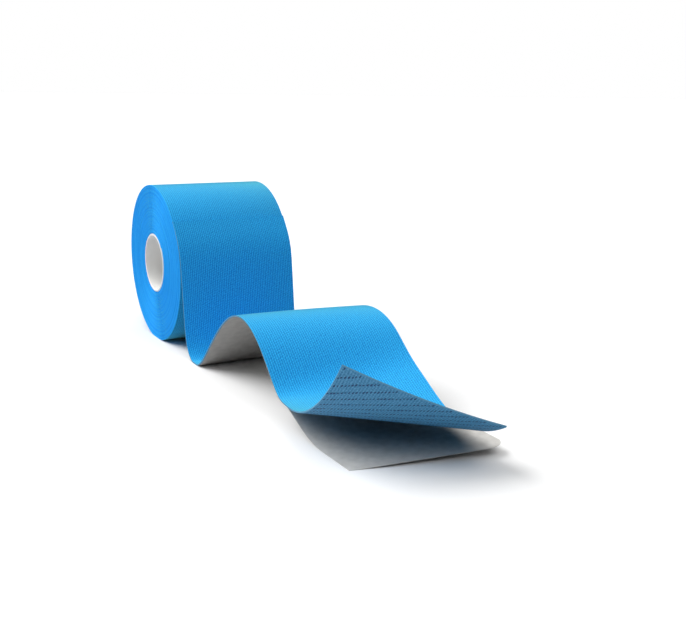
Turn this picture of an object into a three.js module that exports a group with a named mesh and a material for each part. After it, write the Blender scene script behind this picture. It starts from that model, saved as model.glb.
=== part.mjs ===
// A roll of elastic sports tape with its loose end pulled off and half peeled from the release liner.
// Millimetres. X runs along the roll's axis, the loose end runs towards -Y, and Z is up from the surface.
// The origin is the middle of the flat spot that the roll rests on.

import * as THREE from "three";

// Driving dimensions
const TAPE_WIDTH = 50;
const ROLL_RADIUS = 34.4;
const TURN_PITCH = 0.6;
const CORE_BORE_RADIUS = 11.7;
const CORE_WALL = 1.1;
const FLAT_SPOT_WIDTH = 8;
const SHEET_THICKNESS = 1.0;
const PIECE_GAP = 0.3;
const LEAVING_ANGLE = 37.5;
const TAPE_LENGTH = 225.5;
const LINER_LENGTH = 207;
const LINER_SLANT = 12.5;
const LINER_CORNER = 7;

// How finely the curved surfaces are divided. Both sheets have the same rows, so their faces stay parallel.
const OUTLINE_STEPS = 144;
const CORE_STEPS = 72;
const SHEET_COLUMNS = 14;
const SHEET_ROW_STEP = 2.4;
const FOLD_STEPS = 60;
const SLOPE_STEP = 0.05;

const DEGREE = Math.PI / 180;
const TURN = 2 * Math.PI;
const CORE_OUTER_RADIUS = CORE_BORE_RADIUS + CORE_WALL;

// Folds of the loose end, in the order in which they come along it.
// at: distance of the fold's middle from the roll; length: how much of the strip it takes;
// turn: degrees, upwards if positive; skew: how far the fold's line is turned from square across.
const SHARED_FOLDS = [
  { name: "lie over the roll's front", at: 12, length: 24, turn: -31, skew: 0 },
  { name: "trough on the surface", at: 59.5, length: 42, turn: 127, skew: 0 },
  { name: "hump, first half", at: 107.5, length: 66, turn: -29, skew: -8 },
  { name: "hump, second half", at: 141, length: 86, turn: -100.5, skew: 12 },
];
const TAPE_FOLDS = [
  ...SHARED_FOLDS,
  { name: "foot of the hump", at: 158.5, length: 28, turn: 48, skew: -2 },
  { name: "peeled curl", at: 177, length: 98, turn: 59, skew: 24.5 },
];
const LINER_FOLDS = [
  ...SHARED_FOLDS,
  { name: "foot of the hump", at: 160, length: 24, turn: 62, skew: 15.5 },
  { name: "lie down on the surface", at: 181, length: 32, turn: 23, skew: -2.5 },
];

// What the dimensions give
const STACK_THICKNESS = 2 * SHEET_THICKNESS + PIECE_GAP;
const BACK_TO_BOTTOM = (270 - LEAVING_ANGLE) * DEGREE;
const LOWEST_WOUND_RADIUS = woundRadius(BACK_TO_BOTTOM);
const FLAT_SPOT_SAG = (FLAT_SPOT_WIDTH / 2) ** 2 / (2 * ROLL_RADIUS);
const AXIS_HEIGHT = LOWEST_WOUND_RADIUS - FLAT_SPOT_SAG;

// The recess in the roll's front that takes the root of the loose end, thicker here than one turn.
// Over the first part of its run the loose end comes out of the recess to its own place.
const RECESS_DEPTH = STACK_THICKNESS - TURN_PITCH + PIECE_GAP;
const RECESS_LENGTH = 17;
const ROOT_BLEND = 22;

// The last part of a sheet, over which its rows turn to follow a slanted end
const END_BLEND = 40;

function smooth(value) {
  const t = Math.min(Math.max(value, 0), 1);
  return t * t * (3 - 2 * t);
}

// Radius of the outermost turn, going backwards along the tape from the line where it leaves
function woundRadius(back) {
  return ROLL_RADIUS - TURN_PITCH * back / TURN;
}

// The roll's outline seen along +X: the spiral, the recess under the loose end and the flat spot
function rollOutline() {
  const points = [];
  for (let i = 0; i <= OUTLINE_STEPS; i++) {
    const back = TURN * i / OUTLINE_STEPS;
    const below = (TURN - back) * ROLL_RADIUS;
    const recess = RECESS_DEPTH * (1 - smooth(below / RECESS_LENGTH));
    const radius = woundRadius(back) - recess;
    const angle = Math.PI - LEAVING_ANGLE * DEGREE - back;
    const y = radius * Math.cos(angle);
    const z = AXIS_HEIGHT + radius * Math.sin(angle);
    points.push(new THREE.Vector2(y, Math.max(z, 0)));
  }
  return points;
}

// An outline in the YZ plane given the tape's width along X
function acrossWidth(shape) {
  const geometry = new THREE.ExtrudeGeometry(shape, { depth: TAPE_WIDTH, bevelEnabled: false });
  geometry.translate(0, 0, -TAPE_WIDTH / 2);
  const outlineToWidth = new THREE.Matrix4().set(
    0, 0, 1, 0,
    1, 0, 0, 0,
    0, 1, 0, 0,
    0, 0, 0, 1,
  );
  geometry.applyMatrix4(outlineToWidth);
  return geometry;
}

function circleAboutAxis(radius) {
  const points = [];
  for (let i = 0; i < CORE_STEPS; i++) {
    const angle = TURN * i / CORE_STEPS;
    points.push(new THREE.Vector2(radius * Math.cos(angle), AXIS_HEIGHT + radius * Math.sin(angle)));
  }
  return points;
}

function woundRollGeometry() {
  const shape = new THREE.Shape(rollOutline());
  shape.holes.push(new THREE.Path(circleAboutAxis(CORE_OUTER_RADIUS + PIECE_GAP)));
  return acrossWidth(shape);
}

function coreGeometry() {
  const shape = new THREE.Shape(circleAboutAxis(CORE_OUTER_RADIUS));
  shape.holes.push(new THREE.Path(circleAboutAxis(CORE_BORE_RADIUS)));
  return acrossWidth(shape);
}

// The curve of one fold, stepped off along its length. Its curvature swells and fades like a raised cosine.
function foldCurve(fold) {
  const step = fold.length / FOLD_STEPS;
  const curve = [{ forward: 0, up: 0, angle: 0 }];
  for (let i = 1; i <= FOLD_STEPS; i++) {
    const share = i / FOLD_STEPS;
    const angle = fold.turn * DEGREE * (share - Math.sin(TURN * share) / TURN);
    const last = curve[i - 1];
    const middle = (angle + last.angle) / 2;
    curve.push({
      forward: last.forward + step * Math.cos(middle),
      up: last.up + step * Math.sin(middle),
      angle,
    });
  }
  return curve;
}

// A place on the fold's curve, at a distance from its start within its length
function onCurve(fold, distance) {
  const place = distance / fold.length * FOLD_STEPS;
  const i = Math.min(Math.floor(place), FOLD_STEPS - 1);
  const from = fold.curve[i];
  const to = fold.curve[i + 1];
  const mix = (key) => THREE.MathUtils.lerp(from[key], to[key], place - i);
  return { forward: mix("forward"), up: mix("up"), angle: mix("angle") };
}

// Bends a point of the strip about one fold. The point has x across, y along and z out of the strip.
function bend(point, fold) {
  const cosine = Math.cos(fold.skew * DEGREE);
  const sine = Math.sin(fold.skew * DEGREE);
  const along = point.y - fold.at;
  const into = along * cosine - point.x * sine + fold.length / 2;
  const aside = along * sine + point.x * cosine;
  const inFold = THREE.MathUtils.clamp(into, 0, fold.length);
  const { forward, up, angle } = onCurve(fold, inFold);
  const beyond = into - inFold;
  const ahead = forward + beyond * Math.cos(angle) - point.z * Math.sin(angle) - fold.length / 2;
  const height = up + beyond * Math.sin(angle) + point.z * Math.cos(angle);
  return new THREE.Vector3(
    aside * cosine - ahead * sine,
    ahead * cosine + aside * sine + fold.at,
    height,
  );
}

// A point of the underside of the loose end, folded and set where it leaves the roll: x across and y along
function leaveRoll(across, along, folds) {
  let point = new THREE.Vector3(across, along, 0);
  for (const fold of folds.toReversed()) {
    point = bend(point, fold);
  }
  const sine = Math.sin(LEAVING_ANGLE * DEGREE);
  const cosine = Math.cos(LEAVING_ANGLE * DEGREE);
  const base = ROLL_RADIUS - TURN_PITCH;
  return new THREE.Vector3(
    point.x,
    -(base + point.z) * cosine - point.y * sine,
    AXIS_HEIGHT + (base + point.z) * sine - point.y * cosine,
  );
}

// The same point, pressed flat where the strip meets the surface
function underside(across, along, folds) {
  const point = leaveRoll(across, along, folds);
  point.z = Math.max(point.z, 0);
  return point;
}

// A point of a sheet, out from that underside and square to it, and flush with the roll at its root
function sheetPoint(across, along, out, folds) {
  const here = underside(across, along, folds);
  const aside = underside(across + SLOPE_STEP, along, folds).sub(here);
  const ahead = underside(across, along + SLOPE_STEP, folds).sub(here);
  const outwards = ahead.cross(aside).normalize();
  const sunk = (STACK_THICKNESS - TURN_PITCH) * (1 - smooth(along / ROOT_BLEND));
  return here.addScaledVector(outwards, out - sunk);
}

// How far a sheet's end lies beyond its length on the left: it may be cut on a slant, longer on the right,
// and its right-hand corner may be rounded
function endBeyond(across, { slant, corner }) {
  const overCorner = Math.max(across - (TAPE_WIDTH / 2 - corner), 0);
  const cut = corner - Math.sqrt(corner ** 2 - overCorner ** 2);
  return slant * (across / TAPE_WIDTH + 0.5) - cut;
}

// Distance along the strip of one row's point: rows are evenly spaced, and the last ones follow the end
function rowDistance(row, rows, across, sheet) {
  const along = row < rows ? PIECE_GAP + row * SHEET_ROW_STEP : sheet.length;
  const nearEnd = smooth(1 - (sheet.length - along) / END_BLEND);
  return along + endBeyond(across, sheet) * nearEnd;
}

// The points of a sheet's two faces, the lower face first, row after row from the roll outwards
function sheetPositions(sheet, rows) {
  const positions = [];
  for (const out of [sheet.bottom, sheet.top]) {
    for (let row = 0; row <= rows; row++) {
      for (let column = 0; column <= SHEET_COLUMNS; column++) {
        const across = TAPE_WIDTH * (column / SHEET_COLUMNS - 0.5);
        const along = rowDistance(row, rows, across, sheet);
        positions.push(...sheetPoint(across, along, out, sheet.folds));
      }
    }
  }
  return positions;
}

// The triangles that close a sheet of this many rows: its two faces, its two edges and its two ends
function sheetFaces(rows) {
  const rowSize = SHEET_COLUMNS + 1;
  const low = (row, column) => row * rowSize + column;
  const high = (row, column) => (rows + 1) * rowSize + low(row, column);
  const faces = [];
  const quad = (a, b, c, d) => faces.push(a, b, c, a, c, d);
  const last = SHEET_COLUMNS;
  for (let r = 0; r < rows; r++) {
    for (let c = 0; c < SHEET_COLUMNS; c++) {
      quad(low(r, c), low(r, c + 1), low(r + 1, c + 1), low(r + 1, c));
      quad(high(r, c), high(r + 1, c), high(r + 1, c + 1), high(r, c + 1));
    }
    quad(low(r, 0), low(r + 1, 0), high(r + 1, 0), high(r, 0));
    quad(low(r + 1, last), low(r, last), high(r, last), high(r + 1, last));
  }
  for (let c = 0; c < SHEET_COLUMNS; c++) {
    quad(low(0, c + 1), low(0, c), high(0, c), high(0, c + 1));
    quad(low(rows, c), low(rows, c + 1), high(rows, c + 1), high(rows, c));
  }
  return faces;
}

// One closed sheet between two distances out of the liner's underside
function sheetGeometry(sheet) {
  const rows = Math.round(sheet.length / SHEET_ROW_STEP);
  const folds = sheet.folds.map((fold) => ({ ...fold, curve: foldCurve(fold) }));
  const positions = sheetPositions({ ...sheet, folds }, rows);
  const geometry = new THREE.BufferGeometry();
  geometry.setAttribute("position", new THREE.Float32BufferAttribute(positions, 3));
  geometry.setIndex(sheetFaces(rows));
  return geometry;
}

// The liner lies on the surface, and its end is cut on a slant
function linerTailGeometry() {
  return sheetGeometry({
    folds: LINER_FOLDS,
    length: LINER_LENGTH,
    slant: LINER_SLANT,
    corner: LINER_CORNER,
    bottom: 0,
    top: SHEET_THICKNESS,
  });
}

// The tape lies on the liner until it peels off, and its end is cut square
function tapeTailGeometry() {
  return sheetGeometry({
    folds: TAPE_FOLDS,
    length: TAPE_LENGTH,
    slant: 0,
    corner: 0,
    bottom: SHEET_THICKNESS + PIECE_GAP,
    top: STACK_THICKNESS,
  });
}

const BLUE_TAPE = { color: 0x2a8fdc, roughness: 0.85, metalness: 0 };
const WHITE_PLASTIC = { color: 0xf2f1ef, roughness: 0.5, metalness: 0 };
const WHITE_PAPER = { color: 0xe9eaec, roughness: 0.7, metalness: 0 };

function piece(name, geometry, look) {
  const mesh = new THREE.Mesh(geometry, new THREE.MeshStandardMaterial(look));
  mesh.name = name;
  return mesh;
}

const tapeRoll = new THREE.Group();
tapeRoll.add(piece("wound_roll", woundRollGeometry(), BLUE_TAPE));
tapeRoll.add(piece("core_tube", coreGeometry(), WHITE_PLASTIC));
tapeRoll.add(piece("tape_tail", tapeTailGeometry(), BLUE_TAPE));
tapeRoll.add(piece("liner_tail", linerTailGeometry(), WHITE_PAPER));

export default tapeRoll;
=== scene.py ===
# %% [markdown]
# # A roll of elastic sports tape, drawn off and half peeled from its liner
#
# The object is a cotton tape, 50 mm wide, that is wound with a paper liner on a white tube. Its loose end
# drops down the front of the roll, touches the table, rises in a hump and comes down again. There the tape
# peels off the liner in a slanted curl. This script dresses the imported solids: it winds the real ribbon turn
# by turn, folds two thin sheets along the loose end, and gives each piece its finish. Lengths are in
# millimetres until the moment when a mesh is made.

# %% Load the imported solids
import math
from collections import namedtuple

import bpy
import numpy as np
from mathutils import Matrix, Vector


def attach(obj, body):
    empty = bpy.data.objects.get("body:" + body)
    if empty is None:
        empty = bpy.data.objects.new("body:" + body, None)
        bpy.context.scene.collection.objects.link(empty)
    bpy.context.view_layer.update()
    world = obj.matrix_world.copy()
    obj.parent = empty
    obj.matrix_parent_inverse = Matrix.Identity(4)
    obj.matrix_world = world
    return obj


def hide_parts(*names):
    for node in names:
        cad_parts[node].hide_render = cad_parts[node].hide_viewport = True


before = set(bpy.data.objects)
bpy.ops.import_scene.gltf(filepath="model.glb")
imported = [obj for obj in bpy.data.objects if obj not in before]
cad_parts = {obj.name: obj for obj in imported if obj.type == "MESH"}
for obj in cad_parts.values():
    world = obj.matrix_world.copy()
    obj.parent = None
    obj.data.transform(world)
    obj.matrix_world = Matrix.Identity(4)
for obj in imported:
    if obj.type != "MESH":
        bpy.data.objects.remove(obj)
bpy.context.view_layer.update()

MM = 0.001
print("solids:", sorted(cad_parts))

# %% Sizes of the roll
TAPE_WIDTH = 50.0
TAPE_THICKNESS = 0.48
LINER_THICKNESS = 0.1
TURN_PITCH = 0.6
ROLL_RADIUS = 34.4
CORE_BORE_RADIUS = 11.7
CORE_OUTER_RADIUS = 12.8
FLAT_SPOT_WIDTH = 8.0
LEAVING_ANGLE = 37.5
BACK_TO_BOTTOM = math.radians(270 - LEAVING_ANGLE)
FLAT_SPOT_SAG = (FLAT_SPOT_WIDTH / 2) ** 2 / (2 * ROLL_RADIUS)
LOWEST_RADIUS = ROLL_RADIUS - TURN_PITCH * BACK_TO_BOTTOM / math.tau
AXIS_HEIGHT = LOWEST_RADIUS - FLAT_SPOT_SAG
print(f"roll axis {AXIS_HEIGHT:.2f} mm above the table")

# %% [markdown]
# ## The view
#
# The camera repeats the one that took the photograph. Its place, its direction, its slight roll and its focal
# length came from fitting the two rims of the roll, the hole of the core and the lines along the tape, so
# nothing here has to be shifted or cropped. Blender's sensor is 36 mm wide, which turns a focal length in
# pixels into a lens in millimetres.

# %% Camera
IMAGE_WIDTH = 686
SENSOR_WIDTH = 36.0
FOCAL_PIXELS = 950.7
CAMERA_PLACE = (-151.25, -401.2, 106.7)
CAMERA_AZIMUTH = -28.905
CAMERA_PITCH = 13.436
CAMERA_ROLL = 0.667


def turn(degrees, axis):
    return Matrix.Rotation(math.radians(degrees), 4, axis)


camera_data = bpy.data.cameras.new("photo_view")
camera_data.sensor_fit = "HORIZONTAL"
camera_data.sensor_width = SENSOR_WIDTH
camera_data.lens = FOCAL_PIXELS / IMAGE_WIDTH * SENSOR_WIDTH
camera_data.clip_start = 0.01
camera = bpy.data.objects.new("photo_view", camera_data)
bpy.context.scene.collection.objects.link(camera)
camera.matrix_world = (
    Matrix.Translation(Vector(CAMERA_PLACE) * MM)
    @ turn(CAMERA_AZIMUTH, "Z")
    @ turn(90 - CAMERA_PITCH, "X")
    @ turn(CAMERA_ROLL, "Z")
)
bpy.context.scene.camera = camera
print(f"lens {camera_data.lens:.2f} mm")

# %% [markdown]
# ## Making meshes and materials
#
# A few small helpers keep the steps short. One makes an object from points in millimetres, and the others
# build a material out of shader nodes. The patterns of the cloth and the liner are drawn in the strip's own
# flat millimetres, which these pieces carry as a UV map called strip, so the weave bends with the cloth and
# keeps its true size. The slit edge and the core use the object's own coordinates.

# %% Mesh helper
SHARP_ANGLE = math.radians(40)


def shade_smooth(mesh):
    """Smooth shading, broken where two faces meet at more than the sharp angle."""
    mesh.polygons.foreach_set("use_smooth", [True] * len(mesh.polygons))
    mesh.set_sharp_from_angle(angle=SHARP_ANGLE)


def mesh_piece(name, points, faces, materials, strip=None, face_materials=None):
    """An object from points in millimetres; strip gives each point its flat place on the tape."""
    mesh = bpy.data.meshes.new(name)
    mesh.from_pydata((np.asarray(points) * MM).tolist(), [], faces)
    for material in materials:
        mesh.materials.append(material)
    if face_materials is not None:
        mesh.polygons.foreach_set("material_index", face_materials)
    if strip is not None:
        corner_points = np.empty(len(mesh.loops), dtype=np.int32)
        mesh.loops.foreach_get("vertex_index", corner_points)
        layer = mesh.uv_layers.new(name="strip")
        layer.data.foreach_set("uv", np.asarray(strip, dtype=np.float32)[corner_points].ravel())
    mesh.update()
    shade_smooth(mesh)
    piece = bpy.data.objects.new(name, mesh)
    bpy.context.scene.collection.objects.link(piece)
    return piece


# %% Material helpers
def linear(red, green, blue):
    """A colour as seen on screen, 0 to 255, turned into the linear values that shaders use."""
    values = [v / 255 for v in (red, green, blue)]
    return tuple(v / 12.92 if v <= 0.04045 else ((v + 0.055) / 1.055) ** 2.4 for v in values) + (1.0,)


def new_material(name, **settings):
    """A material whose shader has the given settings; returns it with its node tree and its shader."""
    material = bpy.data.materials.new(name)
    material.use_nodes = True
    shader = material.node_tree.nodes["Principled BSDF"]
    for label, value in settings.items():
        shader.inputs[label.replace("_", " ")].default_value = value
    return material, material.node_tree, shader


def add_node(tree, kind, inputs=None, **properties):
    """Adds a node. inputs gives each socket, by name or number, a value or another node's output."""
    node = tree.nodes.new(kind)
    for label, value in properties.items():
        setattr(node, label, value)
    for socket, value in (inputs or {}).items():
        if isinstance(value, bpy.types.NodeSocket):
            tree.links.new(value, node.inputs[socket])
        else:
            node.inputs[socket].default_value = value
    return node


def math_of(tree, operation, *values):
    return add_node(tree, "ShaderNodeMath", dict(enumerate(values)), operation=operation).outputs[0]


# %% [markdown]
# ## The cloth
#
# The tape is a woven elastic cotton. Its threads make fine ribs along the tape, about 0.8 mm apart, and the
# cross threads pass over them a third of a step later on each rib, so the light catches rows of small slanted
# specks. Two wave patterns in the strip's millimetres draw this: one for the ribs and one for the cross
# threads. Their product is the height of the cloth, which drives both the bump and a small change of colour:
# the gap beside a thread is painted darker than its top, as painted shade. Cotton is uneven, so a noise about
# as fine as the threads breaks the pattern up. On the adhesive side the same threads show only faintly.

# %% Weave
RIB_PITCH = 0.81
CROSS_PITCH = 0.95
CROSS_STEP = 1 / 3
CROSS_SHARE = 0.55
FUZZ_SCALE = 1.7
WAVE_RADIANS = 20


def wave_scale(pitch):
    """The scale at which the wave texture, of 20 radians in each unit, repeats once in each pitch."""
    return math.tau / WAVE_RADIANS / pitch


def strip_place(tree):
    return add_node(tree, "ShaderNodeUVMap", uv_map="strip").outputs["UV"]


def weave_height(tree, threads_share, fuzz_share):
    """Height of the cloth over the strip's flat millimetres: even threads plus the fuzz of the cotton."""
    place = strip_place(tree)
    ribs = add_node(
        tree,
        "ShaderNodeTexWave",
        {"Vector": place, "Scale": wave_scale(RIB_PITCH), "Distortion": 1.2, "Detail": 2.0,
         "Detail Scale": 2.5},
        wave_type="BANDS",
        bands_direction="X",
    )
    parts = add_node(tree, "ShaderNodeSeparateXYZ", {0: place})
    rib_share = math_of(tree, "MULTIPLY", parts.outputs["X"], CROSS_STEP * CROSS_PITCH / RIB_PITCH)
    slanted = add_node(
        tree,
        "ShaderNodeCombineXYZ",
        {"X": math_of(tree, "ADD", parts.outputs["Y"], rib_share), "Y": parts.outputs["X"]},
    )
    cross = add_node(
        tree,
        "ShaderNodeTexWave",
        {"Vector": slanted.outputs[0], "Scale": wave_scale(CROSS_PITCH), "Distortion": 1.6, "Detail": 2.0,
         "Detail Scale": 3.0},
        wave_type="BANDS",
        bands_direction="X",
    )
    mixed = math_of(tree, "MULTIPLY_ADD", cross.outputs["Fac"], CROSS_SHARE, 1 - CROSS_SHARE)
    threads = math_of(tree, "MULTIPLY", math_of(tree, "MULTIPLY", ribs.outputs["Fac"], mixed), threads_share)
    fuzz = add_node(
        tree, "ShaderNodeTexNoise", {"Vector": place, "Scale": FUZZ_SCALE, "Detail": 2.0, "Roughness": 0.6})
    return math_of(tree, "MULTIPLY_ADD", fuzz.outputs["Fac"], fuzz_share, threads)


def colour_between(tree, low, high, factor, start, end):
    """A colour that goes from low to high as the factor goes from start to end."""
    ramp = add_node(tree, "ShaderNodeValToRGB", {"Fac": factor})
    ramp.color_ramp.elements[0].position = start
    ramp.color_ramp.elements[0].color = low
    ramp.color_ramp.elements[1].position = end
    ramp.color_ramp.elements[1].color = high
    return ramp.outputs["Color"]


def bumped(tree, shader, height, distance):
    """Gives the shader a bump of this height times the distance in millimetres."""
    bump = add_node(tree, "ShaderNodeBump", {"Height": height, "Distance": distance * MM, "Strength": 1.0})
    tree.links.new(bump.outputs["Normal"], shader.inputs["Normal"])


def make_cloth_face():
    material, tree, shader = new_material(
        "tape_cloth", Roughness=0.9, Sheen_Weight=0.95, Sheen_Roughness=0.45,
        Sheen_Tint=linear(140, 240, 205), Specular_IOR_Level=0.1,
    )
    height = weave_height(tree, 0.6, 0.9)
    # The colour follows the height: the low gaps between threads are painted shade, and the fuzz is the
    # cotton's uneven tone.
    colour = colour_between(tree, linear(6, 116, 202), linear(50, 188, 250), height, 0.3, 1.1)
    tree.links.new(colour, shader.inputs["Base Color"])
    bumped(tree, shader, height, 0.12)
    return material


CLOTH_FACE = make_cloth_face()
print("cloth ribs every", RIB_PITCH, "mm")

# %% [markdown]
# ## The cut edge, the adhesive side, the liner and the core
#
# The slit edge of the wound tape shows the ends of the cross threads, brighter and rougher than the face. No
# liner shows between the turns on the photo's end face, so the wound liner's edge gets the same finish. Along
# the loose end the slit edge is one thin line, and there the adhesive dulls it to a greyish blue. The side
# with the adhesive is duller too: the threads show through a thin grey-blue film. The liner is smooth coated
# paper, and the core is a plain white tube, so both only need a faint mottling and a little gloss.

# %% Other finishes
RINGS_SHARE = 0.75


def make_cut_edge():
    """The slit edge: fine grain, and a shade that changes from turn to turn round the roll's axis."""
    material, tree, shader = new_material("tape_cut_edge", Roughness=0.95, Specular_IOR_Level=0.1)
    place = add_node(tree, "ShaderNodeTexCoord").outputs["Object"]
    axis = (0.0, 0.0, AXIS_HEIGHT * MM)
    from_axis = add_node(tree, "ShaderNodeVectorMath", {0: place, 1: axis}, operation="SUBTRACT").outputs[0]
    in_plane = add_node(
        tree, "ShaderNodeVectorMath", {0: from_axis, 1: (0.0, 1.0, 1.0)}, operation="MULTIPLY").outputs[0]
    radius = add_node(tree, "ShaderNodeVectorMath", {0: in_plane}, operation="LENGTH").outputs["Value"]
    rings = add_node(
        tree, "ShaderNodeTexNoise", {"W": radius, "Scale": 1100.0, "Detail": 1.0}, noise_dimensions="1D")
    grain = add_node(tree, "ShaderNodeTexNoise", {"Vector": place, "Scale": 1500.0, "Detail": 2.0})
    fine = math_of(tree, "MULTIPLY", grain.outputs["Fac"], 1 - RINGS_SHARE)
    shade = math_of(tree, "MULTIPLY_ADD", rings.outputs["Fac"], RINGS_SHARE, fine)
    colour = colour_between(tree, linear(30, 156, 246), linear(50, 180, 255), shade, 0.3, 0.7)
    tree.links.new(colour, shader.inputs["Base Color"])
    bumped(tree, shader, grain.outputs["Fac"], 0.03)
    return material


def make_adhesive_side():
    material, tree, shader = new_material("tape_adhesive_side", Roughness=0.6, Specular_IOR_Level=0.3)
    height = weave_height(tree, 0.25, 0.8)
    # Here too the low gaps between threads are painted darker as shade, and the fuzz gives an uneven tone.
    colour = colour_between(tree, linear(44, 122, 178), linear(126, 208, 250), height, 0.25, 0.9)
    tree.links.new(colour, shader.inputs["Base Color"])
    bumped(tree, shader, height, 0.05)
    return material


def make_liner_paper():
    material, tree, shader = new_material("liner_paper", Roughness=0.5, Specular_IOR_Level=0.4)
    place = strip_place(tree)
    mottle = add_node(tree, "ShaderNodeTexNoise", {"Vector": place, "Scale": 0.35, "Detail": 4.0})
    colour = colour_between(
        tree, linear(190, 188, 184), linear(206, 204, 200), mottle.outputs["Fac"], 0.3, 0.7)
    tree.links.new(colour, shader.inputs["Base Color"])
    fibres = add_node(tree, "ShaderNodeTexNoise", {"Vector": place, "Scale": 3.0, "Detail": 3.0})
    bumped(tree, shader, fibres.outputs["Fac"], 0.01)
    return material


def make_core_plastic():
    material, tree, shader = new_material("core_plastic", Roughness=0.42)
    place = add_node(tree, "ShaderNodeTexCoord").outputs["Object"]
    mottle = add_node(tree, "ShaderNodeTexNoise", {"Vector": place, "Scale": 90.0, "Detail": 3.0})
    colour = colour_between(
        tree, linear(236, 236, 235), linear(244, 243, 240), mottle.outputs["Fac"], 0.3, 0.7)
    tree.links.new(colour, shader.inputs["Base Color"])
    bumped(tree, shader, mottle.outputs["Fac"], 0.02)
    return material


CUT_EDGE = make_cut_edge()
ADHESIVE_SIDE = make_adhesive_side()
LINER_PAPER = make_liner_paper()
CORE_PLASTIC = make_core_plastic()
DASH_MARK, _, _ = new_material("adhesive_dash", Base_Color=linear(12, 70, 124), Roughness=0.6)
TAIL_RIM, _, _ = new_material("tape_rim", Base_Color=linear(88, 144, 178), Roughness=0.9)
print("finishes:", len(bpy.data.materials))

# %% [markdown]
# ## The wound roll
#
# On the real roll some five metres of tape lie on their liner, here in 35 turns. A lathe could give the outer
# shape, but the end faces show each turn, and a spiral is a rule, so Geometry Nodes wind the real ribbon: a
# spiral curve in steps, and the ribbon's cross-section swept along it. The tape's own start makes a step of
# one thickness on the core. The first turn climbs over it, and each further turn smooths it out, which the
# tree repeats by correcting the radius of the inner turns. Each turn also wanders a little sideways, as a
# wound edge does, and that makes the rings on the end face.
#
# One thing here is wrong. Real tape comes over the top of the roll and leaves at the front, and the packed
# solid has it so. This spiral runs the other way round: its outermost turn comes up the front and ends where
# the loose end begins, so the turn above that line lies one pitch too low. From above, a thin line across the
# roll shows it. The roll's axis height is that of the solid.

# %% Geometry Nodes helpers
def new_tree(name, sockets):
    """A Geometry Nodes tree with named inputs; returns it with the outputs of its input node by name."""
    tree = bpy.data.node_groups.new(name, "GeometryNodeTree")
    tree.interface.new_socket("Geometry", in_out="OUTPUT", socket_type="NodeSocketGeometry")
    for label, kind in sockets.items():
        tree.interface.new_socket(label, in_out="INPUT", socket_type=f"NodeSocket{kind}")
    entry = tree.nodes.new("NodeGroupInput")
    return tree, {label: entry.outputs[label] for label in sockets}


def close_tree(tree, geometry, material):
    """Ends a tree in Realize Instances and Set Material."""
    real = add_node(tree, "GeometryNodeRealizeInstances", {"Geometry": geometry})
    painted = add_node(tree, "GeometryNodeSetMaterial", {"Geometry": real.outputs[0], "Material": material})
    out = tree.nodes.new("NodeGroupOutput")
    tree.links.new(painted.outputs[0], out.inputs[0])


def grow(name, tree, values):
    """Runs a tree with these input values and keeps the result as a plain mesh object."""
    holder = bpy.data.objects.new("holder", bpy.data.meshes.new("holder"))
    bpy.context.scene.collection.objects.link(holder)
    modifier = holder.modifiers.new("nodes", "NODES")
    modifier.node_group = tree
    for item in tree.interface.items_tree:
        if item.in_out == "INPUT" and item.name in values:
            modifier[item.identifier] = values[item.name]
    bpy.context.view_layer.update()
    evaluated = holder.evaluated_get(bpy.context.evaluated_depsgraph_get())
    mesh = bpy.data.meshes.new_from_object(evaluated)
    mesh.name = name
    bpy.data.objects.remove(holder)
    piece = bpy.data.objects.new(name, mesh)
    bpy.context.scene.collection.objects.link(piece)
    return piece


# %% The ribbon's spiral
SPIRAL_SOCKETS = {
    "Turns": "Float", "Steps per Turn": "Int", "Start Radius": "Float", "End Radius": "Float",
    "Ribbon Thickness": "Float", "Ribbon Width": "Float", "Edge Rounding": "Float", "Edge Wander": "Float",
    "Start Angle": "Float", "Axis Height": "Float", "Material": "Material",
}
STEP_TURNS = 12.0
CLIMB_FROM = 0.85
WANDER_SCALE = 9.0
WANDER_FADE = 100.0


def climb_over_start(tree, sockets, position):
    """How far each inner turn lies off an even spiral, because it climbs over the tape's start."""
    radius = add_node(tree, "ShaderNodeVectorMath", {0: position}, operation="LENGTH").outputs["Value"]
    pitch = math_of(tree, "DIVIDE", math_of(tree, "SUBTRACT", sockets["End Radius"], sockets["Start Radius"]),
                    sockets["Turns"])
    turns = math_of(tree, "DIVIDE", math_of(tree, "SUBTRACT", radius, sockets["Start Radius"]), pitch)
    share = math_of(tree, "FRACT", turns)
    climb = add_node(
        tree, "ShaderNodeMapRange",
        {"Value": share, "From Min": CLIMB_FROM, "From Max": 1.0},
        interpolation_type="SMOOTHSTEP",
    ).outputs["Result"]
    fade = add_node(
        tree, "ShaderNodeMapRange",
        {"Value": turns, "From Min": 0.0, "From Max": STEP_TURNS, "To Min": 1.0, "To Max": 0.0},
    ).outputs["Result"]
    lift = math_of(tree, "MULTIPLY", math_of(tree, "SUBTRACT", climb, share), fade)
    outwards = add_node(tree, "ShaderNodeVectorMath", {0: position}, operation="NORMALIZE").outputs["Vector"]
    return add_node(
        tree, "ShaderNodeVectorMath",
        {0: outwards, "Scale": math_of(tree, "MULTIPLY", lift, pitch)}, operation="SCALE",
    ).outputs["Vector"]


def edge_wander(tree, sockets, along, total):
    """The small sideways wander of each turn, which dies out where the loose end begins."""
    noise = add_node(
        tree, "ShaderNodeTexNoise", {"W": along, "Scale": WANDER_SCALE, "Detail": 2.0}, noise_dimensions="1D",
    ).outputs["Fac"]
    left = math_of(tree, "SUBTRACT", total, along)
    fade = add_node(
        tree, "ShaderNodeMapRange", {"Value": left, "From Min": 0.0, "From Max": WANDER_FADE * MM},
    ).outputs["Result"]
    swing = math_of(tree, "MULTIPLY", math_of(tree, "SUBTRACT", noise, 0.5), sockets["Edge Wander"])
    return add_node(tree, "ShaderNodeCombineXYZ", {"Z": math_of(tree, "MULTIPLY", swing, fade)}).outputs[0]


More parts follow.
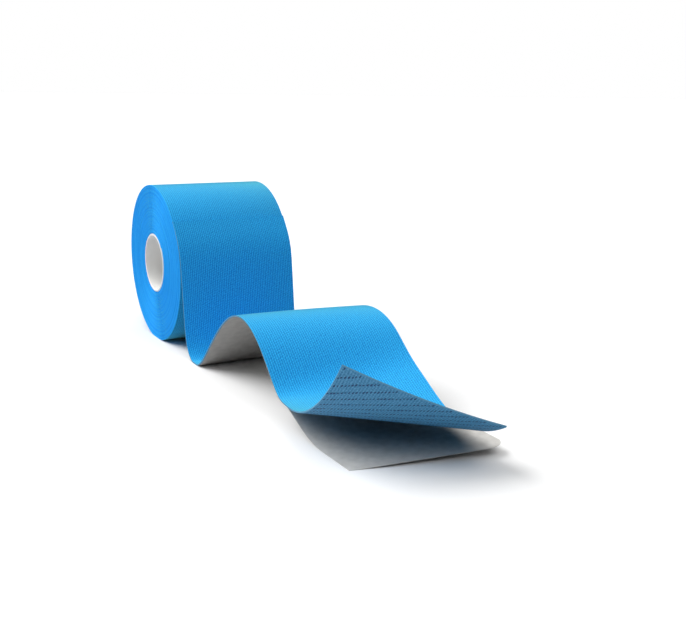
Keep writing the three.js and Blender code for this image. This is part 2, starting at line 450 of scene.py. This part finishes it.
def build_spiral_tree():
    tree, sockets = new_tree("wind_ribbon", SPIRAL_SOCKETS)
    spiral = add_node(
        tree, "GeometryNodeCurveSpiral",
        {"Resolution": sockets["Steps per Turn"], "Rotations": sockets["Turns"],
         "Start Radius": sockets["Start Radius"], "End Radius": sockets["End Radius"], "Height": 0.0},
    ).outputs[0]
    position = tree.nodes.new("GeometryNodeInputPosition").outputs[0]
    length_along = tree.nodes.new("GeometryNodeSplineParameter").outputs["Length"]
    total = add_node(tree, "GeometryNodeCurveLength", {0: spiral}).outputs[0]
    capture = tree.nodes.new("GeometryNodeCaptureAttribute")
    capture.capture_items.new("FLOAT", "Along")
    tree.links.new(spiral, capture.inputs["Geometry"])
    tree.links.new(length_along, capture.inputs["Along"])
    along = capture.outputs["Along"]
    shift = add_node(
        tree, "ShaderNodeVectorMath",
        {0: climb_over_start(tree, sockets, position), 1: edge_wander(tree, sockets, along, total)},
        operation="ADD",
    ).outputs["Vector"]
    path = add_node(
        tree, "GeometryNodeSetPosition", {"Geometry": capture.outputs["Geometry"], "Offset": shift})
    steady = add_node(tree, "GeometryNodeSetCurveNormal", {"Curve": path.outputs[0]}, mode="Z_UP")
    profile = add_node(
        tree, "GeometryNodeCurvePrimitiveQuadrilateral",
        {"Width": sockets["Ribbon Thickness"], "Height": sockets["Ribbon Width"]},
    )
    rounded = add_node(
        tree, "GeometryNodeFilletCurve",
        {"Curve": profile.outputs[0], "Radius": sockets["Edge Rounding"], "Count": 2, "Limit Radius": True},
        mode="POLY",
    )
    ribbon = add_node(
        tree, "GeometryNodeCurveToMesh",
        {"Curve": steady.outputs[0], "Profile Curve": rounded.outputs[0], "Fill Caps": True},
    ).outputs[0]
    across = add_node(tree, "ShaderNodeSeparateXYZ", {0: position}).outputs["Z"]
    flat = add_node(
        tree, "ShaderNodeCombineXYZ",
        {"X": math_of(tree, "DIVIDE", across, MM),
         "Y": math_of(tree, "DIVIDE", math_of(tree, "SUBTRACT", along, total), MM)},
    ).outputs[0]
    stored = add_node(
        tree, "GeometryNodeStoreNamedAttribute",
        {"Geometry": ribbon, "Name": "strip", "Value": flat}, data_type="FLOAT2", domain="CORNER",
    ).outputs[0]
    turned = add_node(
        tree, "GeometryNodeTransform",
        {"Geometry": stored, "Rotation": add_node(
            tree, "ShaderNodeCombineXYZ", {"Z": sockets["Start Angle"]}).outputs[0]},
    ).outputs[0]
    placed = add_node(
        tree, "GeometryNodeTransform",
        {"Geometry": turned, "Rotation": (math.pi / 2, 0.0, math.pi / 2), "Translation": add_node(
            tree, "ShaderNodeCombineXYZ", {"Z": sockets["Axis Height"]}).outputs[0]},
    ).outputs[0]
    close_tree(tree, placed, sockets["Material"])
    return tree


WIND_RIBBON = build_spiral_tree()

# %% Wind the tape and its liner
TAPE_MIDDLE = ROLL_RADIUS - TAPE_THICKNESS / 2
LINER_MIDDLE = ROLL_RADIUS - TURN_PITCH + LINER_THICKNESS / 2
TURNS = (ROLL_RADIUS - TURN_PITCH - CORE_OUTER_RADIUS) / TURN_PITCH
START_ANGLE = math.radians(180 - LEAVING_ANGLE) - math.tau * TURNS
TAPE_ROUNDING = 0.14
TAPE_STEPS = 180
LINER_STEPS = 120
LINER_SET_BACK = 0.4
EDGE_WANDER = 0.3


def wind(name, middle_radius, thickness, width, rounding, steps, material):
    return grow(name, WIND_RIBBON, {
        "Turns": TURNS,
        "Steps per Turn": steps,
        "Start Radius": (middle_radius - TURNS * TURN_PITCH) * MM,
        "End Radius": middle_radius * MM,
        "Ribbon Thickness": thickness * MM,
        "Ribbon Width": width * MM,
        "Edge Rounding": rounding * MM,
        "Edge Wander": EDGE_WANDER * MM,
        "Start Angle": START_ANGLE,
        "Axis Height": AXIS_HEIGHT * MM,
        "Material": material,
    })


wound_tape = wind(
    "wound_tape", TAPE_MIDDLE, TAPE_THICKNESS, TAPE_WIDTH, TAPE_ROUNDING, TAPE_STEPS, CLOTH_FACE)
wound_liner = wind(
    "wound_liner", LINER_MIDDLE, LINER_THICKNESS, TAPE_WIDTH - 2 * LINER_SET_BACK, 0.0,
    LINER_STEPS, LINER_PAPER)
for piece in (wound_tape, wound_liner):
    by_axis = [[v.co[i] for v in piece.data.vertices] for i in range(3)]
    size = [round((max(values) - min(values)) / MM, 2) for values in by_axis]
    print(piece.name, len(piece.data.polygons), "faces,", size, "mm")

# %% Finish the wound ribbon
DENT_TURNS = 8
EDGE_FACING = 0.3


def press_flat(piece):
    """Presses the lowest turns onto the table, and spreads the small dent over the turns above."""
    mesh = piece.data
    points = np.empty(len(mesh.vertices) * 3)
    mesh.vertices.foreach_get("co", points)
    points = points.reshape(-1, 3) / MM
    depth = LOWEST_RADIUS - np.hypot(points[:, 1], points[:, 2] - AXIS_HEIGHT)
    lowest = np.maximum(depth * (1 - FLAT_SPOT_SAG / (DENT_TURNS * TURN_PITCH)), depth - FLAT_SPOT_SAG)
    points[:, 2] = np.maximum(points[:, 2], np.maximum(lowest, 0.0))
    mesh.vertices.foreach_set("co", (points * MM).ravel())
    mesh.update()


def paint_cut_edges(piece, edge_material):
    """Gives the faces that look along the axis the finish of the slit edge."""
    mesh = piece.data
    mesh.materials.append(edge_material)
    normals = np.empty(len(mesh.polygons) * 3)
    mesh.polygons.foreach_get("normal", normals)
    sideways = np.abs(normals.reshape(-1, 3)[:, 0]) > EDGE_FACING
    mesh.polygons.foreach_set("material_index", sideways.astype(np.int32))
    print(piece.name, int(sideways.sum()), "edge faces of", len(sideways))


for piece in (wound_tape, wound_liner):
    press_flat(piece)
    shade_smooth(piece.data)
    paint_cut_edges(piece, CUT_EDGE)
    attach(piece, "root")
    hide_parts("wound_roll")

# %% [markdown]
# ## The core tube
#
# The core is taken to be a moulded plastic tube with small round edges. A profile turned once round the
# roll's axis gives it, with more steps than the solid has, so that the bore shades smoothly.

# %% Turn the core
CORE_STEPS = 160
CORE_EDGE = 0.35
CORNER_STEPS = 4


def core_profile():
    """The wall's outline as pairs of place along the axis and radius, with rounded edges."""
    half = TAPE_WIDTH / 2
    corners = [
        (-half, CORE_BORE_RADIUS, 1, 1), (half, CORE_BORE_RADIUS, -1, 1),
        (half, CORE_OUTER_RADIUS, -1, -1), (-half, CORE_OUTER_RADIUS, 1, -1),
    ]
    first_angle = {(1, 1): 180, (-1, 1): 270, (-1, -1): 0, (1, -1): 90}
    outline = []
    for x, radius, inward_x, inward_r in corners:
        for step in range(CORNER_STEPS + 1):
            angle = math.radians(first_angle[inward_x, inward_r] + 90 * step / CORNER_STEPS)
            outline.append((
                x + inward_x * CORE_EDGE + CORE_EDGE * math.cos(angle),
                radius + inward_r * CORE_EDGE + CORE_EDGE * math.sin(angle),
            ))
    return outline


def turned_round_axis(outline, steps):
    """Points and faces of an outline turned round the roll's axis."""
    points = []
    for step in range(steps):
        angle = math.tau * step / steps
        for x, radius in outline:
            points.append((x, radius * math.cos(angle), AXIS_HEIGHT + radius * math.sin(angle)))
    count = len(outline)
    faces = []
    for step in range(steps):
        for i in range(count):
            j = (i + 1) % count
            here, there = step * count, (step + 1) % steps * count
            faces.append((here + i, here + j, there + j, there + i))
    return points, faces


core_tube = mesh_piece("core", *turned_round_axis(core_profile(), CORE_STEPS), [CORE_PLASTIC])
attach(core_tube, "root")
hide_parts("core_tube")
print("core", len(core_tube.data.polygons), "faces")

# %% [markdown]
# ## The loose end
#
# The loose end is a flat strip that has been bent a few times. Each bend is a fold with a middle, a length,
# an angle and a skew, and its curvature swells and fades like a raised cosine. A point of the flat strip goes
# through the folds from the last to the first, and then to the place where the strip leaves the roll. Tape
# and liner share the folds up to the foot of the hump. After it the tape rolls up along a slanted line, which
# makes the curl, and the liner lies down on the table. Cloth simulation could drop a strip too, but it would
# not land in these folds, so they are listed one by one.

# %% Folds
Fold = namedtuple("Fold", "name at length turn skew")
SHARED_FOLDS = [
    Fold("lie over the roll's front", 12, 24, -31, 0),
    Fold("trough on the surface", 59.5, 42, 127, 0),
    Fold("hump, first half", 107.5, 66, -29, -8),
    Fold("hump, second half", 141, 86, -100.5, 12),
]
TAPE_FOLDS = SHARED_FOLDS + [
    Fold("foot of the hump", 158.5, 28, 48, -2),
    Fold("peeled curl", 177, 98, 59, 24.5),
]
LINER_FOLDS = SHARED_FOLDS + [
    Fold("foot of the hump", 160, 24, 62, 15.5),
    Fold("lie down on the surface", 181, 32, 23, -2.5),
]
TAPE_LENGTH = 225.5
LINER_LENGTH = 207.0
LINER_SLANT = 12.5
LINER_CORNER = 7.0
FOLD_STEPS = 240
SLOPE_STEP = 0.05

# %% Bending a strip
def fold_curve(fold):
    """The fold's curve in steps: distance into it, and the place and angle there."""
    share = np.linspace(0, 1, FOLD_STEPS + 1)
    angle = math.radians(fold.turn) * (share - np.sin(math.tau * share) / math.tau)
    middle = (angle[1:] + angle[:-1]) / 2
    step = fold.length / FOLD_STEPS
    forward = np.concatenate([[0], np.cumsum(step * np.cos(middle))])
    up = np.concatenate([[0], np.cumsum(step * np.sin(middle))])
    return share * fold.length, forward, up, angle


def bend(x, y, z, fold):
    """Bends points of the strip, x across, y along and z out of it, about one fold."""
    cosine, sine = math.cos(math.radians(fold.skew)), math.sin(math.radians(fold.skew))
    along = y - fold.at
    into = along * cosine - x * sine + fold.length / 2
    aside = along * sine + x * cosine
    in_fold = np.clip(into, 0, fold.length)
    distance, forward, up, angle = fold_curve(fold)
    forward, up, angle = (np.interp(in_fold, distance, values) for values in (forward, up, angle))
    beyond = into - in_fold
    ahead = forward + beyond * np.cos(angle) - z * np.sin(angle) - fold.length / 2
    height = up + beyond * np.sin(angle) + z * np.cos(angle)
    return aside * cosine - ahead * sine, ahead * cosine + aside * sine + fold.at, height


def underside(x, y, folds):
    """The strip's underside: folded, set where it leaves the roll, and pressed flat on the table."""
    z = np.zeros_like(x)
    for fold in reversed(folds):
        x, y, z = bend(x, y, z, fold)
    sine, cosine = math.sin(math.radians(LEAVING_ANGLE)), math.cos(math.radians(LEAVING_ANGLE))
    base = ROLL_RADIUS - TURN_PITCH
    height = AXIS_HEIGHT + (base + z) * sine - y * cosine
    return np.stack([x, -(base + z) * cosine - y * sine, np.maximum(height, 0)], axis=-1)


def on_strip(x, y, out, folds):
    """Points at a height out of the strip's underside, square to it."""
    here = underside(x, y, folds)
    aside = underside(x + SLOPE_STEP, y, folds) - here
    ahead = underside(x, y + SLOPE_STEP, folds) - here
    outwards = np.cross(ahead, aside)
    outwards /= np.linalg.norm(outwards, axis=-1, keepdims=True)
    return here + outwards * np.asarray(out)[..., None]


# %% Sheet meshes
def sheet_faces(rows, columns):
    """Faces of a closed sheet: lower face, upper face with the edge that lies on the roll, and the rim."""
    size = columns + 1

    def low(r, c):
        return r * size + c

    def high(r, c):
        return (rows + 1) * size + low(r, c)

    cells = [(r, c) for r in range(rows) for c in range(columns)]
    under = [(low(r, c), low(r, c + 1), low(r + 1, c + 1), low(r + 1, c)) for r, c in cells]
    over = [(high(r, c), high(r + 1, c), high(r + 1, c + 1), high(r, c + 1)) for r, c in cells]
    rim = []
    for r in range(rows):
        rim.append((low(r, 0), low(r + 1, 0), high(r + 1, 0), high(r, 0)))
        rim.append((low(r + 1, columns), low(r, columns), high(r, columns), high(r + 1, columns)))
    for c in range(columns):
        over.append((low(0, c + 1), low(0, c), high(0, c), high(0, c + 1)))
        rim.append((low(rows, c), low(rows, c + 1), high(rows, c + 1), high(rows, c)))
    return under, over, rim


def sheet_piece(name, flat_x, flat_y, levels, folds, materials):
    """A thin sheet from the flat places of its points, between two levels out of the strip's underside."""
    rows, columns = flat_x.shape[0] - 1, flat_x.shape[1] - 1
    layers = [on_strip(flat_x, flat_y, np.full_like(flat_x, level), folds) for level in levels]
    points = np.concatenate([layer.reshape(-1, 3) for layer in layers])
    flat = np.stack([flat_x.ravel(), flat_y.ravel()], axis=-1)
    groups = sheet_faces(rows, columns)
    indices = [index for index, group in enumerate(groups) for _ in group]
    faces = [f for group in groups for f in group]
    return mesh_piece(name, points, faces, materials, np.concatenate([flat, flat]), indices)


# %% Tape and liner
SHEET_STEP = 1.0
TAPE_OUTER = TURN_PITCH
TAPE_INNER = TURN_PITCH - TAPE_THICKNESS
LAP = 0.6
LINER_INSET = 0.3
END_BLEND = 40.0


def flat_grid(length, width):
    """Flat places of a sheet's points, from a little way behind the leaving line so that no gap shows."""
    rows, columns = round((length + LAP) / SHEET_STEP), round(width / SHEET_STEP)
    y, x = np.meshgrid(np.linspace(-LAP, length, rows + 1), np.linspace(-width / 2, width / 2, columns + 1),
                       indexing="ij")
    return x, y


def slanted_end(x, y):
    """Moves the liner's last rows to its end, which is cut on a slant and has a rounded right corner."""
    over = np.clip(x - (TAPE_WIDTH / 2 - LINER_CORNER), 0, LINER_CORNER)
    cut = LINER_CORNER - np.sqrt(LINER_CORNER ** 2 - over ** 2)
    near = np.clip(1 - (LINER_LENGTH - y) / END_BLEND, 0, 1)
    return y + (LINER_SLANT * (x / TAPE_WIDTH + 0.5) - cut) * near * near * (3 - 2 * near)


x, y = flat_grid(TAPE_LENGTH, TAPE_WIDTH)
tape_tail = sheet_piece(
    "tape_loose_end", x, y, (TAPE_INNER, TAPE_OUTER), TAPE_FOLDS, [ADHESIVE_SIDE, CLOTH_FACE, TAIL_RIM])
x, y = flat_grid(LINER_LENGTH, TAPE_WIDTH - 2 * LINER_INSET)
liner_tail = sheet_piece(
    "liner_loose_end", x, slanted_end(x, y), (0.0, LINER_THICKNESS), LINER_FOLDS,
    [LINER_PAPER, LINER_PAPER, LINER_PAPER])
for piece, node, slot in ((tape_tail, "tape_tail", "tape_fabric"), (liner_tail, "liner_tail", "liner_paper")):
    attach(piece, "root")
    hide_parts(node)
    print(piece.name, len(piece.data.polygons), "faces")

# %% [markdown]
# ## The marks of the adhesive
#
# The photo's peeled side shows slanted rows of short dark dashes, taken to be marks of how the adhesive is
# laid on. On a real tape that happens while it is flat, and the same is done here. Geometry Nodes set a dash
# at each place of a slanted grid. The dashes outside the tape are then dropped, and the points of the others
# go through the same folds as the sheet. Only the peeled part is marked, because the rest lies against the
# liner.

# %% Rows of dashes on the flat strip
DASH_SOCKETS = {
    "Row Spacing": "Float", "Dash Spacing": "Float", "Rows": "Int", "Dashes per Row": "Int",
    "Dash Length": "Float", "Dash Width": "Float", "Row Slant": "Float", "Dash Slant": "Float",
    "Unevenness": "Float", "Seed": "Int", "Material": "Material",
}
SMALLEST_DASH = 0.75
LARGEST_DASH = 1.15


def build_dash_tree():
    tree, sockets = new_tree("adhesive_rows", DASH_SOCKETS)
    grid = add_node(
        tree, "GeometryNodeMeshGrid",
        {"Size X": math_of(tree, "MULTIPLY", sockets["Dash Spacing"], sockets["Dashes per Row"]),
         "Size Y": math_of(tree, "MULTIPLY", sockets["Row Spacing"], sockets["Rows"]),
         "Vertices X": math_of(tree, "ADD", sockets["Dashes per Row"], 1.0),
         "Vertices Y": math_of(tree, "ADD", sockets["Rows"], 1.0)},
    ).outputs["Mesh"]
    jitter = add_node(
        tree, "FunctionNodeRandomValue",
        {0: (-0.5, -0.5, 0.0), 1: (0.5, 0.5, 0.0), "Seed": sockets["Seed"]}, data_type="FLOAT_VECTOR",
    ).outputs[0]
    uneven = add_node(
        tree, "ShaderNodeVectorMath", {0: jitter, "Scale": sockets["Unevenness"]}, operation="SCALE",
    ).outputs["Vector"]
    points = add_node(tree, "GeometryNodeSetPosition", {"Geometry": grid, "Offset": uneven}).outputs[0]
    dash = add_node(
        tree, "GeometryNodeMeshCircle", {"Vertices": 8, "Radius": 0.5}, fill_type="NGON").outputs[0]
    size = add_node(
        tree, "ShaderNodeCombineXYZ", {"X": sockets["Dash Length"], "Y": sockets["Dash Width"], "Z": 1.0})
    angle = add_node(tree, "ShaderNodeCombineXYZ", {"Z": sockets["Dash Slant"]})
    shaped = add_node(
        tree, "GeometryNodeTransform",
        {"Geometry": dash, "Scale": size.outputs[0], "Rotation": angle.outputs[0]}).outputs[0]
    scale = add_node(
        tree, "FunctionNodeRandomValue",
        {2: SMALLEST_DASH, 3: LARGEST_DASH, "Seed": sockets["Seed"]}, data_type="FLOAT",
    ).outputs[1]
    dashes = add_node(
        tree, "GeometryNodeInstanceOnPoints",
        {"Points": points, "Instance": shaped, "Scale": scale}).outputs[0]
    slant = add_node(tree, "ShaderNodeCombineXYZ", {"Z": sockets["Row Slant"]})
    slanted = add_node(
        tree, "GeometryNodeTransform", {"Geometry": dashes, "Rotation": slant.outputs[0]}).outputs[0]
    close_tree(tree, slanted, sockets["Material"])
    return tree


ROW_SLANT = 37.8
DASH_SLANT = 78.0
PEELED_FROM = 140.0
ROWS_CENTRE = 181.8
flat_rows = grow("flat_rows", build_dash_tree(), {
    "Row Spacing": 3.255,
    "Dash Spacing": 1.07,
    "Rows": 40,
    "Dashes per Row": 110,
    "Dash Length": 1.2,
    "Dash Width": 0.46,
    "Row Slant": math.radians(ROW_SLANT),
    "Dash Slant": math.radians(DASH_SLANT - ROW_SLANT),
    "Unevenness": 0.2,
    "Seed": 5,
    "Material": DASH_MARK,
})
print("dashes before trimming:", len(flat_rows.data.polygons))

# %% Trim the rows to the peeled part and fold them
DASH_LIFT = 0.03


def trimmed_and_folded(name, flat_rows):
    """Keeps the dashes that lie on the peeled part and takes them through the tape's folds."""
    mesh = flat_rows.data
    kept_points, kept_faces = [], []
    for polygon in mesh.polygons:
        corners = np.array([mesh.vertices[v].co[:2] for v in polygon.vertices]) + (0.0, ROWS_CENTRE)
        inside = np.abs(corners[:, 0]).max() < TAPE_WIDTH / 2 and corners[:, 1].max() < TAPE_LENGTH
        if inside and corners[:, 1].min() > PEELED_FROM:
            first = len(kept_points)
            kept_points += corners.tolist()
            kept_faces.append(list(range(first, first + len(corners))))
    flat = np.array(kept_points)
    out = np.full(len(flat), TAPE_INNER - DASH_LIFT)
    points = on_strip(flat[:, 0], flat[:, 1], out, TAPE_FOLDS)
    bpy.data.objects.remove(flat_rows)
    return mesh_piece(name, points, [face[::-1] for face in kept_faces], [DASH_MARK], flat)


adhesive_rows = trimmed_and_folded("adhesive_rows", flat_rows)
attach(adhesive_rows, "root")
print("dashes:", len(adhesive_rows.data.polygons))

# %% [markdown]
# ## Table and light
#
# The photograph is a studio picture cut out on white. A plain pale table takes its place. Three soft lights
# were fitted to the shades of the cloth and the liner. A wide one overhead whitens the tops, one behind the
# roll on the left lights the end face and leaves the space under the curl dark, and a weak one in front fills
# the front of the roll. Sun lamps with a wide angle do this evenly over the whole table, so the table meets
# the white room without a visible edge. The shades under the loose end are deeper than a white table would
# leave them. So the table is seen as white but throws back only half of the light, and the room is seen as
# white but adds almost none.

# %% Table
TABLE_SEEN = linear(246, 246, 246)
TABLE_GIVEN = linear(186, 187, 189)
TABLE_HALF = 40000.0
TABLE_TOP = -0.02


def make_table():
    """A table that is seen as white but throws back only half of the light."""
    material, tree, shader = new_material("table", Roughness=0.95, Specular_IOR_Level=0.05)
    is_seen = add_node(tree, "ShaderNodeLightPath").outputs["Is Camera Ray"]
    colour = colour_between(tree, TABLE_GIVEN, TABLE_SEEN, is_seen, 0.0, 1.0)
    tree.links.new(colour, shader.inputs["Base Color"])
    signs = ((-1, -1), (1, -1), (1, 1), (-1, 1))
    corners = [(x * TABLE_HALF, y * TABLE_HALF, TABLE_TOP) for x, y in signs]
    return mesh_piece("table", corners, [(0, 1, 2, 3)], [material])


table = make_table()

# %% Light
Light = namedtuple("Light", "name direction angle strength colour")
LIGHTS = [
    Light("overhead_softbox", (0.0, 0.0, 1.0), 100, 1.4, (1.0, 0.99, 0.97)),
    Light("back_softbox", (-1.0, 0.9, 1.2), 50, 3.0, (1.0, 1.0, 1.0)),
    Light("front_softbox", (0.0, -1.0, 1.3), 50, 0.85, (0.98, 0.99, 1.0)),
]
ROOM_COLOUR = (0.9, 0.96, 1.08)
ROOM_LIGHT = 0.02


def add_light(light):
    data = bpy.data.lights.new(light.name, "SUN")
    data.angle = math.radians(light.angle)
    data.energy = light.strength
    data.color = light.colour
    lamp = bpy.data.objects.new(light.name, data)
    bpy.context.scene.collection.objects.link(lamp)
    lamp.rotation_euler = Vector(light.direction).to_track_quat("Z", "Y").to_euler()


def make_room():
    """A room that is seen as white and gives a faint cool light."""
    world = bpy.data.worlds.new("pale_room")
    world.use_nodes = True
    tree = world.node_tree
    seen = tree.nodes["Background"]
    seen.inputs["Color"].default_value = (1.0, 1.0, 1.0, 1.0)
    given = add_node(tree, "ShaderNodeBackground", {"Color": ROOM_COLOUR + (1.0,), "Strength": ROOM_LIGHT})
    is_seen = add_node(tree, "ShaderNodeLightPath").outputs["Is Camera Ray"]
    mix = add_node(tree, "ShaderNodeMixShader", {0: is_seen, 1: given.outputs[0], 2: seen.outputs[0]})
    tree.links.new(mix.outputs[0], tree.nodes["World Output"].inputs["Surface"])
    bpy.context.scene.world = world


for light in LIGHTS:
    add_light(light)
make_room()
bpy.context.scene.view_settings.view_transform = "Standard"
print("soft lights:", [light.name for light in LIGHTS])
